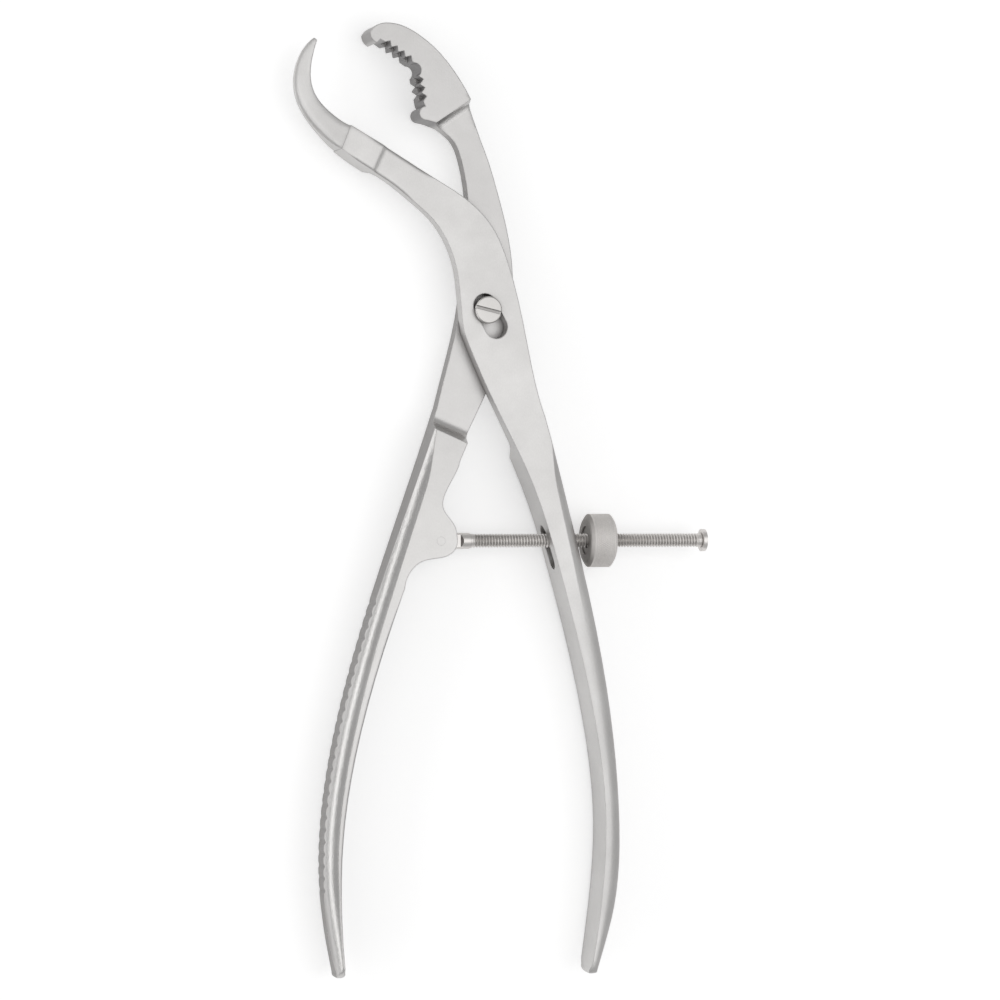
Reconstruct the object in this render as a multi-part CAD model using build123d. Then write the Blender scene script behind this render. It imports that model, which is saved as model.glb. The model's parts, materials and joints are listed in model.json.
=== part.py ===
from build123d import *
import math
import os

# Bone holding forceps lying flat, in millimetres.
# Drawn about the joint screw: X to the right, Y towards the jaws, Z up through the thickness.

# Depths through the thickness
lap_thickness = 4.4
lap_gap = 0.1
jaw_depth = 10.4
handle_depth = 12.6

# Rounded outer side of the handles
flank_drop = 4.3
flank_radius = 6.1
flank_tilt = 15
flank_overrun = 1.5

# Sloping steps between the thin laps and the thick ends
jaw_step_slope = 73
rear_grip_slope = 68
front_grip_slope = 60
block_bevel_slope = 38
step_foot_radius = 3.0
flare_start = -20.0
flare_end = -50.0
waist_top = 25.0

# Centring slot of the front arm and the screw in it
slot_width = 6.6
slot_length = 6.85
slot_lean = 28.8
rest_offset = 1.5
bush_clearance = 0.05
bush_end_gap = 0.03
screw_diameter = 4.5
screw_clearance = 0.03
head_diameter = 7.7
head_height = 1.5
head_chamfer = 0.3
driver_slot_width = 0.9
driver_slot_depth = 0.8
driver_slot_angle = -13.0

# Spindle and its pin in the boss of the rear handle
pin_x = -14.0
spindle_y = -64.9
pin_diameter = 2.4
pin_clearance = 0.03
tongue_height = 4.6
tongue_thickness = 3.0
tongue_clearance = 0.15
fork_depth = 3.8
fork_height = 18.0
thin_root = 7.0
root_length = 9.8
spindle_diameter = 4.0
spindle_length = 79.9
spigot_diameter = 2.6
cap_diameter = 6.4
cap_thickness = 1.1
handle_hole_height = 12.4
handle_hole_width = 5.0
handle_hole_drop = 1.9

# Lock nut: knurled ring round a threaded core
nut_diameter = 15.2
nut_thickness = 8.0
nut_chamfer = 1.0
nut_gap = 3.9
core_diameter = 8.0
core_clearance = 0.03
thread_clearance = 0.05

# Teeth of the rear jaw, in two rows half a pitch apart
tooth_pitch = 2.4
tooth_depth = 1.15
tooth_land = 0.3
upper_row_length = 10.2
lower_row_length = 8.0

# Grooves across the outside of the grips
groove_pitch = 3.4
groove_width = 2.1
front_groove_depth = 0.28
rear_groove_depth = 0.36
front_groove_length = 5.0
rear_groove_length = 12.6
grooves_start = 58.0
groove_count = 25

# Front arm: the edge from the hook block down the outside of the handle
front_upper_edge = [
    (-39.6, 50.9), (-29.3, 45.0), (-15.9, 37.0), (-4.4, 29.7), (1.6, 23.2),
    (5.5, 14.9), (10.8, -5.0), (16.8, -29.9)]
front_outer_edge = [
    (16.8, -29.9), (27.5, -70.4), (36.1, -110.0), (39.3, -142.0), (38.0, -168.0), (33.0, -186.2)]
# Front arm: the edge from the hook block down the inside of the handle
front_lower_edge = [
    (-42.2, 44.3), (-35.6, 39.7), (-28.4, 35.4), (-21.7, 30.3), (-15.9, 25.2),
    (-11.7, 19.1), (-8.9, 11.0), (-7.7, 1.0), (-6.8, -6.3)]
front_inner_edge = [
    (-6.8, -6.3), (3.4, -29.0), (13.6, -51.0), (20.3, -71.5), (30.5, -112.5),
    (34.4, -145.0), (33.0, -168.0), (30.4, -185.8)]
front_tip = (31.6, -188.0)
# Crown of the grip, which the rounded flanks run down to, from clear of the lap on to the outer edge
front_crown = [
    (19.6, -29.9), (28.9, -70.4), (36.5, -110.1), (39.6, -142.0), (38.3, -168.1), (33.3, -186.3)]

# Hook: centre of each section, its width, its depth, its heading and the radius of its corners
hook_sections = [
    (-40.3, 47.4, 7.0, 10.2, 159, 0.6), (-43.5, 49.3, 6.8, 7.9, 148, 1.4),
    (-48.2, 53.8, 6.2, 5.3, 128, 1.7), (-51.8, 59.7, 5.5, 4.0, 105, 1.5),
    (-52.35, 66.0, 4.6, 3.1, 83, 1.25), (-50.9, 71.2, 3.3, 2.4, 64, 1.0),
    (-48.6, 75.1, 1.2, 1.1, 55, 0.5)]

# Rear arm: over the back of the toothed jaw and down to the inside of the handle
rear_back_edge = [
    (-34.2, 76.9), (-31.6, 79.3), (-28.0, 79.7), (-24.4, 78.9), (-19.7, 76.4),
    (-15.0, 72.7), (-10.4, 67.5), (-6.7, 62.0), (-3.5, 55.6), (-1.8, 50.8),
    (1.2, 43.1), (3.9, 34.5), (6.6, 24.5), (8.4, 14.0), (8.6, 4.0),
    (7.2, -6.0), (4.5, -15.0), (1.5, -21.9), (-4.7, -34.6), (-8.6, -43.0)]
# Boss for the spindle, measured from the pin
boss_edge = [
    (5.4, 21.9), (1.1, 13.0), (0.6, 9.6), (2.1, 6.9), (4.2, 3.8),
    (4.7, 1.3), (4.5, -1.6), (2.6, -3.8), (-0.6, -4.8), (-6.0, -6.0),
    (-8.5, -8.2), (-10.4, -13.0)]
rear_inner_edge = [
    (-24.4, -77.9), (-29.3, -91.7), (-37.4, -119.5), (-42.1, -148.0), (-42.3, -172.0), (-41.2, -185.0)]
rear_tip = (-42.3, -186.9)
# Rear arm: from the spur of the jaw down the outside of the handle
rear_upper_edge = [
    (-10.4, 49.3), (-7.9, 46.4), (-6.3, 42.0), (-4.9, 35.0), (-4.4, 27.0),
    (-4.9, 17.0), (-5.9, 7.0), (-7.4, -3.0), (-10.3, -15.0), (-13.5, -27.5)]
rear_outer_edge = [
    (-13.5, -27.5), (-25.0, -60.6), (-37.6, -98.5), (-45.1, -131.0), (-47.0, -160.0), (-43.3, -185.4)]

rear_crown = [
    (-15.3, -27.5), (-26.1, -60.6), (-38.0, -98.6), (-45.4, -131.1), (-47.3, -160.1), (-43.6, -185.5)]

# Biting side of the toothed jaw
nose_lip = [(-34.2, 76.9), (-33.6, 75.1), (-32.3, 74.0)]
nose_notch = [(-32.3, 74.0), (-31.2, 75.1), (-30.0, 74.4)]
upper_row_heading = -33.5
throat = (-19.45, 66.7)
lower_row_start = (-20.2, 65.2)
lower_row_heading = -78.5
spur_nose = [(-18.2, 56.7), (-19.95, 54.7), (-18.4, 52.9)]
spur_back = [(-18.4, 52.9), (-14.8, 52.0), (-10.4, 49.3)]

# Foot of each step, and its heading from the thick end into the thin lap
block_step = (-30.8, 41.8)
block_heading = -24.6
jaw_step = (-9.45, 54.1)
jaw_heading = -55.8
rear_grip_step = (-10.05, -33.35)
rear_grip_heading = 67.0
front_grip_step = (11.3, -36.9)
front_grip_heading = 112.0

half_gap = lap_gap / 2
half_jaw = jaw_depth / 2
half_handle = handle_depth / 2
half_grip = half_handle - flank_drop
clear = 30.0


def along(point, heading, distance):
    a = math.radians(heading)
    return (point[0] + distance * math.cos(a), point[1] + distance * math.sin(a))


def slab(face, low, high):
    return extrude(Pos(0, 0, low) * face, high - low)


def recess(foot, heading, level, side, slope):
    # space beyond a level, from a sloping step with a hollow foot, straight on along the heading
    back = clear / math.tan(math.radians(slope))
    ahead = Vector(*along((0, 0), heading, 1))
    plane = Plane(origin=(*foot, 0), x_dir=ahead, z_dir=ahead.cross(Vector(0, 0, 1)))
    profile = make_face(Polyline(
        (0, level), (2 * clear, level), (2 * clear, level + side * clear), (-back, level + side * clear), (0, level)))
    foot_corner = profile.vertices().sort_by_distance((0, level, 0))[0]
    return extrude(plane * fillet(foot_corner, step_foot_radius), clear, both=True)


def waist(side):
    # space over the flat lap, which flares out to the full depth of the handle
    high = side * clear
    edge = Spline((flare_end, side * half_handle), (flare_start, side * lap_thickness), tangents=[(1, 0), (1, 0)])
    rest = Polyline(
        (flare_start, side * lap_thickness), (waist_top, side * lap_thickness), (waist_top, high),
        (flare_end, high), (flare_end, side * half_handle))
    return extrude(Plane.YZ * make_face([edge, rest]), 2 * clear, both=True)


def above_jaw(side):
    # space over the jaw end, beyond the jaw's own depth
    return Pos(0, waist_top, side * (half_jaw + clear / 2)) * Box(
        6 * clear, 3 * clear, clear, align=(Align.CENTER, Align.MIN, Align.CENTER))


def round_end(tip_y):
    # what is taken off to give the handle a full round end, seen from the side
    block = Pos(0, tip_y, 0) * Box(4 * clear, 2 * half_handle, 2 * clear)
    return block - Pos(0, tip_y + half_handle, 0) * Rot(0, 90, 0) * Cylinder(half_handle, 5 * clear)


def hook_section(right, top, corner):
    # a rectangle with two facets at each corner
    inset = corner * (1 - math.sqrt(0.5))
    quarter = [(right, top - corner), (right - inset, top - inset), (right - corner, top)]
    half = quarter + [(-x, y) for x, y in reversed(quarter)]
    outline = half + [(-x, -y) for x, y in half]
    return make_face(Polyline(*outline, outline[0]))


def flank_cutters(points, outward):
    # the two rounded flanks, swept down the outside edge of a handle and off its end
    last = Vector(*points[-1])
    path = Spline(*points, last + (last - Vector(*points[-2])).normalized() * handle_depth)
    ahead = path % 0
    side_dir = Vector(0, 0, 1).cross(ahead) * outward
    cutters = []
    for side in (1, -1):
        plane = Plane(origin=path @ 0, x_dir=side_dir, z_dir=ahead)
        up = side * outward
        centre = Vector(*along((0, up * half_grip), up * (180 + flank_tilt), flank_radius))
        start = centre + Vector(0, up * flank_radius)
        middle = Vector(*along((centre.X, centre.Y), up * (45 + flank_tilt / 2), flank_radius))
        finish = Vector(0, up * half_grip)
        top = up * (half_handle + flank_overrun)
        profile = make_face([
            ThreePointArc(start, middle, finish),
            Polyline(finish, (flank_overrun, up * (half_grip - flank_overrun)),
                     (flank_overrun, top), (start.X, top), start)])
        cutters.append(sweep(plane * profile, path=path))
    return cutters


def groove_cutters(edge, outward, depth, length):
    # shallow V grooves across the crown of the grip
    half = groove_width / 2
    notch = make_face(Polyline(
        (-half, 0), (0, -outward * depth), (half, 0), (half, outward), (-half, outward), (-half, 0)))
    cutters = []
    for i in range(groove_count):
        distance = grooves_start + i * groove_pitch
        point = edge.position_at(distance, position_mode=PositionMode.LENGTH)
        ahead = edge.tangent_at(distance, position_mode=PositionMode.LENGTH)
        plane = Plane(origin=point, x_dir=ahead, z_dir=(0, 0, 1))
        cutters.append(extrude(plane * notch, length / 2, both=True))
    return cutters


def tooth_cutters(start, heading, length):
    # V notches square to a row, the upper ones half a pitch from the lower ones
    half = (tooth_pitch - tooth_land) / 2
    cutters = []
    for offset, low in ((0.5, 0), (0, -jaw_depth)):
        for i in range(int(length / tooth_pitch - offset + 0.5) + 1):
            middle = (i + offset) * tooth_pitch
            if middle - half < 0 or middle + half > length:
                continue
            plane = Plane(origin=(*along(start, heading, middle), 0), x_dir=Vector(*along((0, 0), heading, 1)))
            notch = make_face(Polyline(
                (-half, 0), (0, tooth_depth), (half, 0), (half, -tooth_land), (-half, -tooth_land), (-half, 0)))
            cutters.append(extrude(Pos(0, 0, low) * (plane * notch), jaw_depth))
    return cutters


def x_on(edge, y):
    # where a downward edge crosses a height
    low, high = 0.0, 1.0
    for _ in range(40):
        middle = (low + high) / 2
        if (edge @ middle).Y > y:
            low = middle
        else:
            high = middle
    return (edge @ low).X


# Edges that other pieces are placed by
front_outer = Spline(*front_outer_edge)
rear_outer = Spline(*rear_outer_edge)
slot_top = along((0, 0), slot_lean + 90, rest_offset)
slot_foot = along(slot_top, slot_lean - 90, slot_length)


def make_front_arm():
    plan = make_face([
        Spline(*front_upper_edge),
        front_outer,
        ThreePointArc(front_outer_edge[-1], front_tip, front_inner_edge[-1]),
        Spline(*front_inner_edge),
        Spline(*front_lower_edge),
        Line(front_lower_edge[0], front_upper_edge[0])])
    arm = slab(plan, -half_handle, half_handle)
    arm -= [above_jaw(1), above_jaw(-1), waist(1)]
    arm -= recess(block_step, block_heading, lap_thickness, 1, block_bevel_slope)
    arm -= recess(block_step, block_heading, half_gap, -1, jaw_step_slope)
    arm -= recess(front_grip_step, front_grip_heading, half_gap, -1, front_grip_slope)
    arm -= waist(-1)
    arm -= flank_cutters(front_crown, 1)
    arm -= round_end(front_tip[1])
    arm -= groove_cutters(front_outer, 1, front_groove_depth, front_groove_length)
    hook = []
    for x, y, width, depth, heading, corner in hook_sections:
        ahead = Vector(*along((0, 0), heading, 1))
        plane = Plane(origin=(x, y, 0), x_dir=ahead.cross(Vector(0, 0, 1)), z_dir=ahead)
        hook.append(plane * hook_section(width / 2, depth / 2, corner))
    arm += loft(hook)
    middle = ((slot_top[0] + slot_foot[0]) / 2, (slot_top[1] + slot_foot[1]) / 2)
    slot = Pos(*middle) * Rot(0, 0, slot_lean - 90) * SlotCenterToCenter(slot_length, slot_width)
    arm -= slab(slot, 0, 2 * lap_thickness)
    hole = Plane.YZ * SlotOverall(handle_hole_height, handle_hole_width)
    arm -= Pos(x_on(front_outer, spindle_y), spindle_y - handle_hole_drop, 0) * extrude(hole, clear / 2, both=True)
    return arm


def make_rear_arm():
    boss = [(pin_x + x, spindle_y + y) for x, y in boss_edge]
    upper_row_start = nose_notch[-1]
    upper_row_end = along(upper_row_start, upper_row_heading, upper_row_length)
    lower_row_end = along(lower_row_start, lower_row_heading, lower_row_length)
    plan = make_face([
        Spline(*rear_back_edge),
        Spline(*boss),
        Spline(*rear_inner_edge),
        ThreePointArc(rear_inner_edge[-1], rear_tip, rear_outer_edge[-1]),
        rear_outer,
        Spline(*rear_upper_edge),
        Spline(*spur_back),
        ThreePointArc(*spur_nose),
        Line(lower_row_end, spur_nose[0]),
        Line(lower_row_start, lower_row_end),
        ThreePointArc(upper_row_end, throat, lower_row_start),
        Line(upper_row_start, upper_row_end),
        Polyline(*nose_notch),
        ThreePointArc(*nose_lip)])
    arm = slab(plan, -half_handle, half_handle)
    arm -= [above_jaw(1), above_jaw(-1), waist(-1)]
    arm -= recess(jaw_step, jaw_heading, -lap_thickness, -1, block_bevel_slope)
    arm -= recess(jaw_step, jaw_heading, -half_gap, 1, jaw_step_slope)
    arm -= recess(rear_grip_step, rear_grip_heading, -half_gap, 1, rear_grip_slope)
    arm -= waist(1)
    arm -= flank_cutters(rear_crown, -1)
    arm -= round_end(rear_tip[1])
    arm -= groove_cutters(rear_outer, -1, rear_groove_depth, rear_groove_length)
    arm -= tooth_cutters(upper_row_start, upper_row_heading, upper_row_length)
    arm -= tooth_cutters(lower_row_start, lower_row_heading, lower_row_length)
    arm -= Pos(0, 0, -lap_thickness / 2) * Cylinder(screw_diameter / 2 + screw_clearance, 2 * lap_thickness)
    arm -= Pos(pin_x, spindle_y, 0) * Cylinder(pin_diameter / 2 + pin_clearance, 2 * handle_depth)
    arm -= Pos(pin_x - fork_depth, spindle_y, 0) * Box(
        clear, fork_height, tongue_thickness + 2 * tongue_clearance, align=(Align.MIN, Align.CENTER, Align.CENTER))
    return arm


def make_pivot_screw():
    head_base = lap_thickness + 2 * bush_end_gap
    shank = Pos(0, 0, -lap_thickness) * Cylinder(
        screw_diameter / 2, lap_thickness + head_base, align=(Align.CENTER, Align.CENTER, Align.MIN))
    head = Pos(0, 0, head_base) * Cylinder(
        head_diameter / 2, head_height, align=(Align.CENTER, Align.CENTER, Align.MIN))
    head = chamfer(head.edges().group_by(Axis.Z)[-1], head_chamfer)
    driver_slot = Pos(0, 0, head_base + head_height) * Rot(0, 0, driver_slot_angle) * Box(
        2 * head_diameter, driver_slot_width, 2 * driver_slot_depth)
    return shank + head - driver_slot


def make_slide_bush():
    ring = Circle(slot_width / 2 - bush_clearance) - Circle(screw_diameter / 2 + screw_clearance)
    return slab(ring, bush_end_gap - half_gap, lap_thickness + bush_end_gap)


def make_spindle():
    eye = Cylinder(tongue_height / 2, tongue_thickness)
    root = Pos(root_length / 2, 0, 0) * Rot(0, 90, 0) * Cylinder(tongue_height / 2, root_length)
    flats = make_face(Polyline(
        (0, -tongue_thickness / 2), (thin_root, -tongue_thickness / 2), (root_length, -tongue_height),
        (root_length, tongue_height), (thin_root, tongue_thickness / 2), (0, tongue_thickness / 2),
        (0, -tongue_thickness / 2)))
    root &= extrude(Plane.XZ * flats, tongue_height, both=True)
    thread_end = spindle_length - cap_thickness
    rod = Pos(root_length, 0, 0) * Rot(0, 90, 0) * Cylinder(
        spindle_diameter / 2, thread_end - root_length, align=(Align.CENTER, Align.CENTER, Align.MIN))
    spigot = Pos(thread_end, 0, 0) * Rot(0, 90, 0) * Cylinder(
        spigot_diameter / 2, cap_thickness, align=(Align.CENTER, Align.CENTER, Align.MIN))
    bar = eye + root + rod + spigot
    bar -= Cylinder(pin_diameter / 2 + pin_clearance, 2 * tongue_thickness)
    return Pos(pin_x, spindle_y, 0) * bar


def make_spindle_pin():
    return Pos(pin_x, spindle_y, 0) * Cylinder(pin_diameter / 2, handle_depth)


def make_end_cap():
    disc = Cylinder(cap_diameter / 2, cap_thickness) - Cylinder(spigot_diameter / 2, cap_thickness)
    return Pos(pin_x + spindle_length - cap_thickness / 2, spindle_y, 0) * Rot(0, 90, 0) * disc


def nut_place():
    return Pos(x_on(front_outer, spindle_y) + nut_gap + nut_thickness / 2, spindle_y, 0) * Rot(0, 90, 0)


def make_nut_core():
    core = Cylinder(core_diameter / 2, nut_thickness - nut_chamfer)
    return nut_place() * (core - Cylinder(spindle_diameter / 2 + thread_clearance, nut_thickness))


def make_lock_nut():
    ring = chamfer(Cylinder(nut_diameter / 2, nut_thickness).edges(), nut_chamfer)
    return nut_place() * (ring - Cylinder(core_diameter / 2 + core_clearance, nut_thickness))


pieces = {
    "front_arm": make_front_arm(),
    "rear_arm": make_rear_arm(),
    "pivot_screw": make_pivot_screw(),
    "slide_bush": make_slide_bush(),
    "spindle": make_spindle(),
    "spindle_pin": make_spindle_pin(),
    "end_cap": make_end_cap(),
    "nut_core": make_nut_core(),
    "lock_nut": make_lock_nut()}

# The origin goes to the middle of the outline, on the surface that the forceps lie on
boxes = [piece.bounding_box() for piece in pieces.values()]
middle_x = (min(box.min.X for box in boxes) + max(box.max.X for box in boxes)) / 2
middle_y = (min(box.min.Y for box in boxes) + max(box.max.Y for box in boxes)) / 2
to_origin = Pos(-middle_x, -middle_y, -min(box.min.Z for box in boxes))
os.makedirs("parts", exist_ok=True)
for name, piece in pieces.items():
    export_step(to_origin * piece, f"parts/{name}.step")
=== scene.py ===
import json
import math

import bmesh
import bpy
from mathutils import Matrix, Vector


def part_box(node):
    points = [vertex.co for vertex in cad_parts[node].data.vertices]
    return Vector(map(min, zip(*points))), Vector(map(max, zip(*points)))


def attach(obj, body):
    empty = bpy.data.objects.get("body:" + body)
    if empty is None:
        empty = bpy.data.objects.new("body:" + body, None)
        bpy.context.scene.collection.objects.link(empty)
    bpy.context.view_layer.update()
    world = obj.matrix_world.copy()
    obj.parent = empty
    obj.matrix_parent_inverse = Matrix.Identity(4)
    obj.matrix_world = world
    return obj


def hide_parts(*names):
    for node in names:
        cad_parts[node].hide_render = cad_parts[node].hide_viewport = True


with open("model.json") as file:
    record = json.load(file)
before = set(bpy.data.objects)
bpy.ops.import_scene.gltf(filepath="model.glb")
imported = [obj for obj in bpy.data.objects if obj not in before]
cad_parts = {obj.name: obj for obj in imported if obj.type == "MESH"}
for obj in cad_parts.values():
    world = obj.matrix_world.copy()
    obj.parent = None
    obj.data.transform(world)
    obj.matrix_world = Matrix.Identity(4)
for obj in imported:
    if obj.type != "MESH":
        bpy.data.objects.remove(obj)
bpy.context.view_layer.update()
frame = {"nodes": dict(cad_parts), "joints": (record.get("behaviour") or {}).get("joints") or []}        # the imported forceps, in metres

joints = {joint["name"]: joint for joint in frame["joints"]}
pivot = Vector(joints["jaw_pivot"]["pos_m"])        # the joint screw's axis, half way through the lap
pin = Vector(joints["spindle_swing"]["pos_m"])      # the spindle's pin in the boss


# Shader maths

class Value:
    # a socket that takes + - and *
    def __init__(self, sheet, socket):
        self.sheet = sheet
        self.socket = socket

    def __add__(self, other):
        return self.sheet.maths("ADD", self, other)

    def __sub__(self, other):
        return self.sheet.maths("SUBTRACT", self, other)

    def __rsub__(self, other):
        return self.sheet.maths("SUBTRACT", other, self)

    def __mul__(self, other):
        return self.sheet.maths("MULTIPLY", self, other)

    __radd__ = __add__
    __rmul__ = __mul__


class Sheet:
    # one material's nodes
    def __init__(self, name):
        self.material = bpy.data.materials.new(name)
        self.material.use_nodes = True
        self.tree = self.material.node_tree
        self.tree.nodes.clear()

    def node(self, kind, settings=None, inputs=None, out=0):
        made = self.tree.nodes.new("ShaderNode" + kind)
        for key, value in (settings or {}).items():
            setattr(made, key, value)
        for key, value in (inputs or {}).items():
            if isinstance(value, Value):
                self.tree.links.new(value.socket, made.inputs[key])
            else:
                made.inputs[key].default_value = value
        return Value(self, made.outputs[out]) if len(made.outputs) else made

    def maths(self, operation, a, b):
        sockets = [v.socket for v in (a, b) if isinstance(v, Value)]
        if any(s.type in ("VECTOR", "RGBA") for s in sockets):
            spread = [v if isinstance(v, (Value, tuple)) else (v, v, v) for v in (a, b)]
            return self.node("VectorMath", {"operation": operation}, {0: spread[0], 1: spread[1]})
        return self.node("Math", {"operation": operation}, {0: a, 1: b})

    def mix(self, factor, a, b):
        return self.node("Mix", {"data_type": "RGBA"}, {0: factor, 6: a, 7: b}, out=2)

    def turnNormal(self, factor, a, b):
        return self.node("Mix", {"data_type": "VECTOR"}, {0: factor, 4: a, 5: b}, out=1)

    def part(self, vector, which):
        return self.node("SeparateXYZ", {}, {0: vector}, out=which)

    def size(self, value):
        return self.node("Math", {"operation": "ABSOLUTE"}, {0: value})

    def noise(self, place, scale, detail, roughness):
        return self.node("TexNoise", {}, {
            "Vector": place, "Scale": scale, "Detail": detail, "Roughness": roughness})

    def smooth(self, value, low, high):
        return self.node("MapRange", {"interpolation_type": "SMOOTHSTEP"}, {0: value, 1: low, 2: high})

    def near(self, place, spots):
        # 1 inside round regions (x, y, reach), fading to 0 over the last fifth of their reach
        flat = place * (1, 1, 0)
        total = None
        for x, y, reach in spots:
            away = self.node("VectorMath", {"operation": "DISTANCE"}, {0: flat, 1: (x, y, 0)}, out=1)
            inside = 1 - self.smooth(away, reach * 0.8, reach)
            total = inside if total is None else self.maths("MAXIMUM", total, inside)
        return total

    def surface(self, shader):
        self.node("OutputMaterial", {}, {"Surface": shader})
        return self.material


def steel(name, look):
    # blasted or turned stainless steel: cloudy tone, fine grain, painted shade in hollows and softened edges
    s = Sheet(name)
    place = s.node("TexCoord", out=3)
    facing = s.node("TexCoord", out=1)
    sideways = s.size(s.part(facing, 0))
    upward = s.size(s.part(facing, 2))
    light, dark, paintedShadeTone = [(*look[key], 1) for key in ("light", "dark", "hollow")]

    wide = s.noise(place, look["cloudScale"], 3.0, 0.55)
    across, along = look["grainAcross"], look["grainAlong"]
    stretched = place * s.node("CombineXYZ", {}, {0: across, 1: along, 2: across})
    grain = s.noise(stretched, look["grainScale"], 4.0, 0.65)
    dirt = s.noise(place, look["cloudScale"] * 6, 5.0, 0.7)
    colour = s.mix(s.smooth(wide, 0.35, 0.68) * 0.6 + s.smooth(grain, 0.3, 0.75) * 0.4, dark, light)

    # painted shade on faces turned sideways: the grooved outer edges and the nut's end faces
    sideShade = (1 - s.smooth(upward, 0.2, 0.6)) * s.smooth(sideways, 0.5, 0.8) * look["sideShadeShare"]
    colour = s.mix(sideShade, colour, paintedShadeTone)
    # painted shade: the colour goes towards the shade tone in hollows and between parts, by ambient occlusion
    openness = s.node("AmbientOcclusion", {"samples": 8}, {"Distance": look["hollowReach"]}, out=1)
    colour = s.mix(s.smooth(openness, 0.25, 0.95), paintedShadeTone, colour)

    # slanting flanks are polished by the hand
    flank = s.smooth(upward, 0.18, 0.32) * (1 - s.smooth(upward, 0.955, 0.99)) * s.smooth(sideways, 0.15, 0.35)
    rough = look["rough"] + (dirt - 0.5) * look["roughSpread"] + (grain - 0.5) * 0.06
    rough = rough - flank * look["flankPolish"]

    # a thin painted shade line under the edges, then edges softened more in some regions than in others
    plain = s.node("NewGeometry", out=1)
    rounded = s.node("Bevel", {"samples": 6}, {"Radius": look["edge"]})
    edge = 1 - s.node("VectorMath", {"operation": "DOT_PRODUCT"}, {0: plain, 1: rounded}, out=1)
    shadeUnderEdge = s.smooth(edge, 0.01, 0.12) * (1 - s.smooth(upward, 0.1, 0.3)) * look["shadeLineShare"]
    colour = s.mix(shadeUnderEdge, colour, paintedShadeTone)
    for radius, spots in look["softEdges"]:
        softer = s.node("Bevel", {"samples": 8}, {"Radius": radius})
        rounded = s.turnNormal(s.near(place, spots), rounded, softer)

    # the hook and the ramps look flatter than the solid's facets, and the front handle leans outward
    side = s.node("Math", {"operation": "SIGN"}, {0: s.part(facing, 2)})
    for share, slant, spots in look["calmed"]:
        calm = s.near(place, spots) * s.smooth(upward, 0.2, 0.45) * share
        rounded = s.turnNormal(calm, rounded, s.node("CombineXYZ", {}, {0: slant, 2: side}))

    if "teeth" in look:
        # the toothed arm: its flush pin, painted shade in the bite and darker colour towards the jaw
        rounded = s.turnNormal(s.near(place, [look["flushPin"]]), rounded, plain)
        toothShade = s.near(place, look["teeth"]) * (1 - s.smooth(upward, 0.3, 0.6)) * look["toothShadeShare"]
        colour = s.mix(toothShade, colour, (*look["toothShadeTone"], 1))
        # darker colour towards the jaw end of the arm
        jawward = s.smooth(s.part(place, 1), *look["jawDarkeningFrom"]) * look["jawDarkening"]
        colour = s.mix(jawward, colour, (*look["jawDarkTone"], 1))

    height = grain * look["grainHeight"] + dirt * look["grainHeight"] * 0.6
    bump = s.node("Bump", {}, {
        "Strength": look["bump"], "Distance": look["bumpDepth"], "Height": height, "Normal": rounded})
    return s.surface(s.node("BsdfPrincipled", {}, {
        "Base Color": colour, "Metallic": 1.0, "Roughness": rough, "Normal": bump}))


# softEdges holds (radius, spots) and calmed holds (share, slant, spots), with each spot as (x, y, reach)
# hollow holds the painted shade colour, and hollowReach how far into the hollows it is painted
armLook = {
    "light": (0.72, 0.71, 0.70), "dark": (0.63, 0.62, 0.61), "hollow": (0.26, 0.25, 0.245), "hollowReach": 0.003,
    "cloudScale": 45, "grainScale": 2600, "grainAcross": 1.0, "grainAlong": 0.55, "grainHeight": 1.0,
    "rough": 0.40, "roughSpread": 0.12, "flankPolish": 0.04, "sideShadeShare": 0.0, "edge": 0.00045,
    "shadeLineShare": 0.7, "bump": 0.12, "bumpDepth": 0.0004,
    "softEdges": [(0.0016, [(-0.046, 0.106, 0.031)]), (0.0034, [(0.03, -0.125, 0.105)])],
    "calmed": [(0.62, 0.0, [(-0.055, 0.115, 0.024)]), (0.55, 0.24, [(0.04, -0.13, 0.125)])]}
rearLook = {
    **armLook, "rough": 0.36, "cloudScale": 32, "flankPolish": 0.13, "sideShadeShare": 0.85,
    "calmed": [(0.55, 0.0, [(-0.0145, 0.108, 0.0078)])], "toothShadeTone": (0.13, 0.125, 0.13),
    "flushPin": (pin.x, pin.y, 0.0026), "toothShadeShare": 0.9, "jawDarkening": 0.35, "jawDarkTone": (0.45, 0.44, 0.435),
    "teeth": [(-0.0291, 0.1226, 0.0105), (-0.0234, 0.1134, 0.0095)], "jawDarkeningFrom": (-0.02, 0.05),
    "softEdges": [(0.0018, [(-0.0145, 0.108, 0.0078)]), (0.0012, [(-0.03, -0.125, 0.105)])]}
pinLook = {**rearLook, "edge": 0.00001, "softEdges": [], "calmed": []}
screwLook = {
    **armLook, "light": (0.68, 0.665, 0.65), "dark": (0.57, 0.555, 0.54), "rough": 0.30, "grainScale": 3400,
    "edge": 0.00022, "softEdges": [], "calmed": []}
spindleLook = {
    **armLook, "light": (0.86, 0.835, 0.815), "dark": (0.70, 0.675, 0.655), "rough": 0.34, "edge": 0.00006,
    "hollow": (0.10, 0.09, 0.08), "hollowReach": 0.0006, "flankPolish": 0.0, "softEdges": [], "calmed": []}
nutLook = {
    **armLook, "light": (0.86, 0.835, 0.815), "dark": (0.74, 0.715, 0.695), "rough": 0.60, "cloudScale": 120,
    "grainScale": 1500, "bump": 0.2, "edge": 0.0002, "hollow": (0.16, 0.15, 0.14), "hollowReach": 0.0009,
    "flankPolish": 0.0, "sideShadeShare": 0.55, "softEdges": [], "calmed": []}

finishes = {
    "frontArmSteel": steel("frontArmSteel", armLook),
    "rearArmSteel": steel("rearArmSteel", rearLook),
    "pinSteel": steel("pinSteel", pinLook),
    "screwSteel": steel("screwSteel", screwLook),
    "spindleSteel": steel("spindleSteel", spindleLook),
    "nutSteel": steel("nutSteel", nutLook)}
print("finishes", list(finishes))

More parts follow.
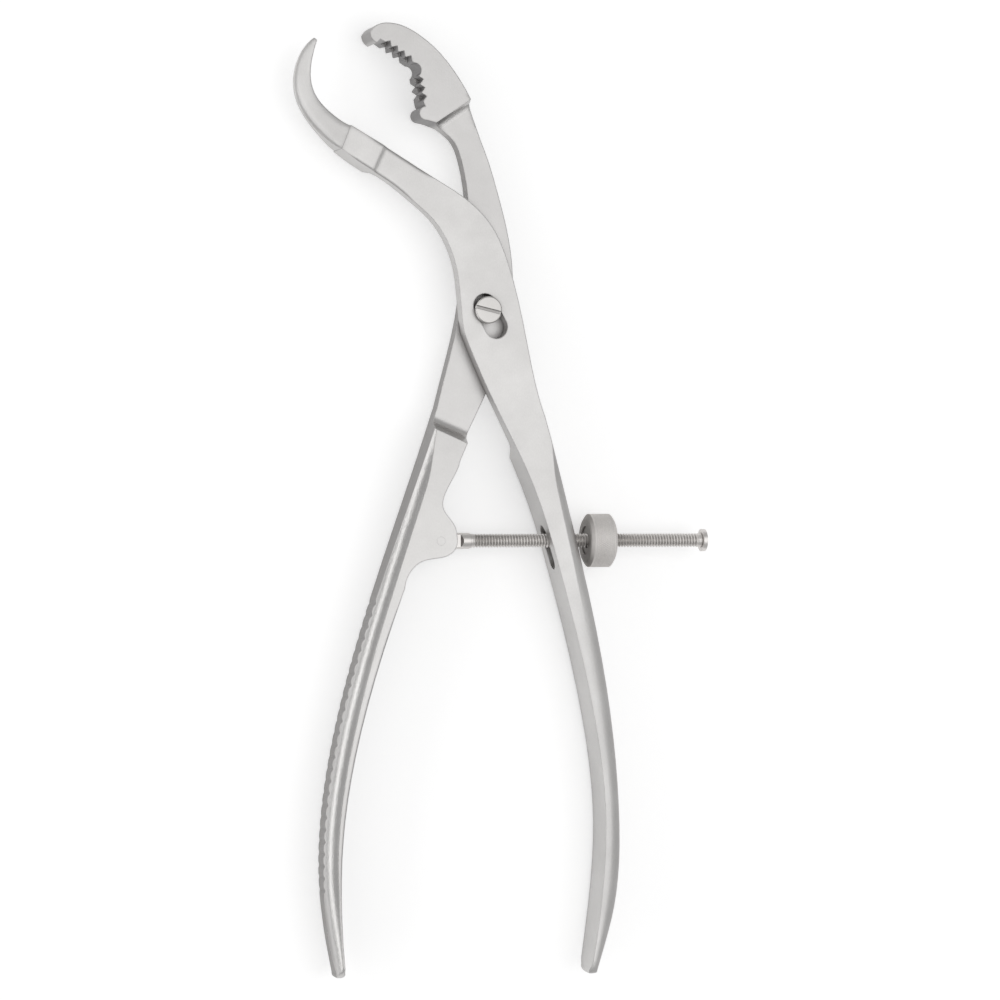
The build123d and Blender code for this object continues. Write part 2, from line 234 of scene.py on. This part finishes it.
nodeFinish = {
    "front_arm": "frontArmSteel", "rear_arm": "rearArmSteel", "pivot_screw": "screwSteel",
    "slide_bush": "screwSteel", "spindle": "spindleSteel", "spindle_pin": "pinSteel",
    "end_cap": "spindleSteel", "nut_core": "nutSteel", "lock_nut": "nutSteel"}
for node, finish in nodeFinish.items():
    cad = frame["nodes"][node]
    cad.data.materials.clear()
    cad.data.materials.append(finishes[finish])


# Pieces made here

def newPiece(name, mesh, body, finish, stoodFor):
    piece = bpy.data.objects.new(name, mesh)
    bpy.context.scene.collection.objects.link(piece)
    mesh.materials.clear()
    mesh.materials.append(finishes[finish])
    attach(piece, body)
    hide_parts(*stoodFor)


thread = {
    "pitch": 0.00086, "depth": 0.00042, "crest": 0.0020, "crestFlat": 0.10, "flankShare": 0.75,
    "start": 0.0104, "end": 0.0780, "runOut": 0.0012, "around": 28, "perTurn": 8,
    "capThickness": 0.0011, "rivetRadius": 0.0013}


def threadDepth(phase):
    # how far the surface lies below the crest, over one pitch
    rise = abs(2 * (phase % 1.0) - 1)
    return thread["depth"] * min(1.0, max(0.0, (rise - thread["crestFlat"]) / thread["flankShare"]))


def addBar(bm, axis, start, end, radius):
    # a plain round bar along x
    bar = bmesh.ops.create_cone(bm, cap_ends=True, segments=thread["around"], radius1=radius, radius2=radius,
                                depth=end - start)
    middle = axis + Vector(((start + end) / 2, 0, 0))
    bmesh.ops.transform(bm, verts=bar["verts"], matrix=Matrix.Translation(middle)
                        @ Matrix.Rotation(math.pi / 2, 4, "Y"))


def makeThreadedSpindle():
    # the root and its tongue come from the frame, and the thread is wound on from there
    root = frame["nodes"]["spindle"]
    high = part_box("spindle")[1]
    axis = Vector((0, pin.y, pin.z))
    bm = bmesh.new()
    bm.from_mesh(root.data)
    bmesh.ops.remove_doubles(bm, verts=bm.verts, dist=1e-7)
    cut = pin.x + thread["start"]
    whole = bm.verts[:] + bm.edges[:] + bm.faces[:]
    bmesh.ops.bisect_plane(bm, geom=whole, plane_co=(cut, 0, 0), plane_no=(1, 0, 0), clear_outer=True)
    stepX = thread["pitch"] / thread["perTurn"]
    last = pin.x + thread["end"]
    rings = int((last - cut) / stepX) + thread["perTurn"]
    grid = []
    for i in range(-thread["perTurn"], rings + 1):
        row = []
        for j in range(thread["around"]):
            turn = j / thread["around"]
            x = min(max(cut + (i + turn * thread["perTurn"]) * stepX, cut), last)
            fade = min(1.0, (x - cut) / thread["runOut"], (last - x) / thread["runOut"])
            radius = thread["crest"] - threadDepth(i / thread["perTurn"]) * max(0.0, fade)
            angle = 2 * math.pi * turn
            row.append(bm.verts.new(axis + Vector((x, radius * math.cos(angle), radius * math.sin(angle)))))
        grid.append(row)
    for i in range(len(grid) - 1):
        for j in range(thread["around"]):
            if j + 1 < thread["around"]:
                corners = (grid[i][j], grid[i + 1][j], grid[i + 1][j + 1], grid[i][j + 1])
            elif i + 1 + thread["perTurn"] < len(grid):
                k = i + thread["perTurn"]
                corners = (grid[i][j], grid[i + 1][j], grid[k + 1][0], grid[k][0])
            else:
                continue
            bm.faces.new(corners)
    bmesh.ops.remove_doubles(bm, verts=bm.verts, dist=1e-8)
    bmesh.ops.dissolve_degenerate(bm, edges=bm.edges, dist=1e-8)
    capStart = high.x - thread["capThickness"]
    addBar(bm, axis, last, capStart, thread["crest"])
    addBar(bm, axis, capStart, high.x, thread["rivetRadius"])
    bmesh.ops.recalc_face_normals(bm, faces=bm.faces)
    mesh = bpy.data.meshes.new("threadedSpindle")
    bm.to_mesh(mesh)
    bm.free()
    newPiece("threadedSpindle", mesh, "swinging_spindle", "spindleSteel", ["spindle"])


knurl = {
    "teeth": 76, "depth": 0.00012, "lean": 30, "rows": 20, "across": 4, "chamfer": 0.0009, "clearance": 0.00003,
    "margin": 0.00015, "fade": 0.0004}


def makeKnurledNut():
    # crossed knurling over the rim, fading out at both chamfers
    low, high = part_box("lock_nut")
    coreLow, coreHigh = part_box("nut_core")
    centre = (low + high) / 2
    rim = (high.y - low.y) / 2
    bore = (coreHigh.y - coreLow.y) / 2 + knurl["clearance"]
    half = (high.x - low.x) / 2
    chamfer = knurl["chamfer"]
    around = knurl["teeth"] * knurl["across"]
    profile = [(-half, bore), (-half, rim - 1.9 * chamfer), (-half + chamfer * 0.25, rim - 1.3 * chamfer),
               (-half + chamfer, rim - 0.15 * chamfer)]
    span = 2 * (half - chamfer - knurl["margin"])
    steps = knurl["rows"] * 3
    for i in range(steps + 1):
        profile.append((-span / 2 + span * i / steps, rim))
    profile += [(half - chamfer, rim - 0.15 * chamfer), (half - chamfer * 0.25, rim - 1.3 * chamfer),
                (half, rim - 1.9 * chamfer), (half, bore)]
    lean = math.tan(math.radians(knurl["lean"])) / rim
    bm = bmesh.new()
    grid = []
    for x, radius in profile:
        row = []
        for j in range(around):
            angle = 2 * math.pi * j / around
            sink = 0.0
            if radius == rim:
                one = abs(math.sin((angle + x * lean) * knurl["teeth"] / 2))
                two = abs(math.sin((angle - x * lean) * knurl["teeth"] / 2))
                fade = min(1.0, (span / 2 - abs(x)) / knurl["fade"] + 0.15)
                sink = knurl["depth"] * (1 - min(one, two) ** 0.8) * fade
            reach = radius - sink
            row.append(bm.verts.new(centre + Vector((x, reach * math.cos(angle), reach * math.sin(angle)))))
        grid.append(row)
    for i in range(len(grid)):
        after = grid[(i + 1) % len(grid)]
        for j in range(around):
            k = (j + 1) % around
            bm.faces.new((grid[i][j], after[j], after[k], grid[i][k]))
    bmesh.ops.recalc_face_normals(bm, faces=bm.faces)
    mesh = bpy.data.meshes.new("knurledNut")
    bm.to_mesh(mesh)
    bm.free()
    newPiece("knurledNut", mesh, "nut_ring", "nutSteel", ["lock_nut"])


makeThreadedSpindle()
print("threaded spindle")
makeKnurledNut()
print("knurled nut")


# Floor, light and camera

stage = {"floorGlow": 0.42, "floorInSteel": 0.6, "floorSize": 3.0, "floorHeight": -0.0002, "world": 0.45}


def makeFloor():
    # the camera sees it white, and it keeps the shadow
    s = Sheet("paleFloor")
    path = s.node("LightPath")
    place = s.node("TexCoord", out=3)
    cloud = s.node("TexNoise", {}, {"Vector": place, "Scale": 3.0, "Detail": 2.0})
    colour = s.mix(cloud, (0.86, 0.86, 0.86, 1), (0.90, 0.90, 0.90, 1))
    lit = s.node("BsdfDiffuse", {}, {"Color": colour})
    glow = s.node("Emission", {}, {"Color": (1, 1, 1, 1), "Strength": stage["floorGlow"]})
    both = s.node("AddShader", {}, {0: lit, 1: glow})
    seen = path.socket.node.outputs
    inSteel = Value(s, seen["Is Glossy Ray"]) + Value(s, seen["Is Transmission Ray"])
    s.surface(s.node("MixShader", {}, {0: path + inSteel * stage["floorInSteel"], 1: lit, 2: both}))
    mesh = bpy.data.meshes.new("floor")
    bm = bmesh.new()
    bmesh.ops.create_grid(bm, x_segments=1, y_segments=1, size=stage["floorSize"])
    bm.to_mesh(mesh)
    bm.free()
    floor = bpy.data.objects.new("floor", mesh)
    bpy.context.scene.collection.objects.link(floor)
    floor.location.z = stage["floorHeight"]
    mesh.materials.append(s.material)


def makeLamp(name, place, target, size, power):
    lamp = bpy.data.lights.new(name, "AREA")
    lamp.shape = "RECTANGLE"
    lamp.size, lamp.size_y = size
    lamp.energy = power
    made = bpy.data.objects.new(name, lamp)
    bpy.context.scene.collection.objects.link(made)
    made.location = place
    made.rotation_mode = "QUATERNION"
    made.rotation_quaternion = (Vector(target) - Vector(place)).to_track_quat("-Z", "Y")


def makeWorld(strength):
    world = bpy.data.worlds.new("softRoom")
    bpy.context.scene.world = world
    world.use_nodes = True
    back = world.node_tree.nodes["Background"]
    back.inputs["Color"].default_value = (1, 1, 1, 1)
    back.inputs["Strength"].default_value = strength


makeFloor()
makeWorld(stage["world"])
makeLamp("topBox", (0.24, 0.0, 1.0), (0, 0, 0), (0.95, 1.3), 3.15)
makeLamp("leftBox", (-0.95, 0.15, 0.40), (0, 0, 0), (2.6, 0.34), 3.1)

shot = {"turn": 16.0, "distance": 1.100, "lens": 140.18, "sensor": 36.0, "aim": (0.0049, -0.0534, 0.0)}
camera = bpy.data.objects.new("camera", bpy.data.cameras.new("camera"))
bpy.context.scene.collection.objects.link(camera)
turn = math.radians(shot["turn"])
aim = pivot + Vector(shot["aim"])
camera.location = aim + shot["distance"] * Vector((-math.sin(turn), 0, math.cos(turn)))
camera.rotation_euler = (0, -turn, 0)
camera.data.sensor_width = shot["sensor"]
camera.data.lens = shot["lens"]
camera.data.clip_start, camera.data.clip_end = 0.05, 20.0
bpy.context.scene.camera = camera
bpy.context.scene.view_settings.view_transform = "Standard"
print("floor, lamps and camera")
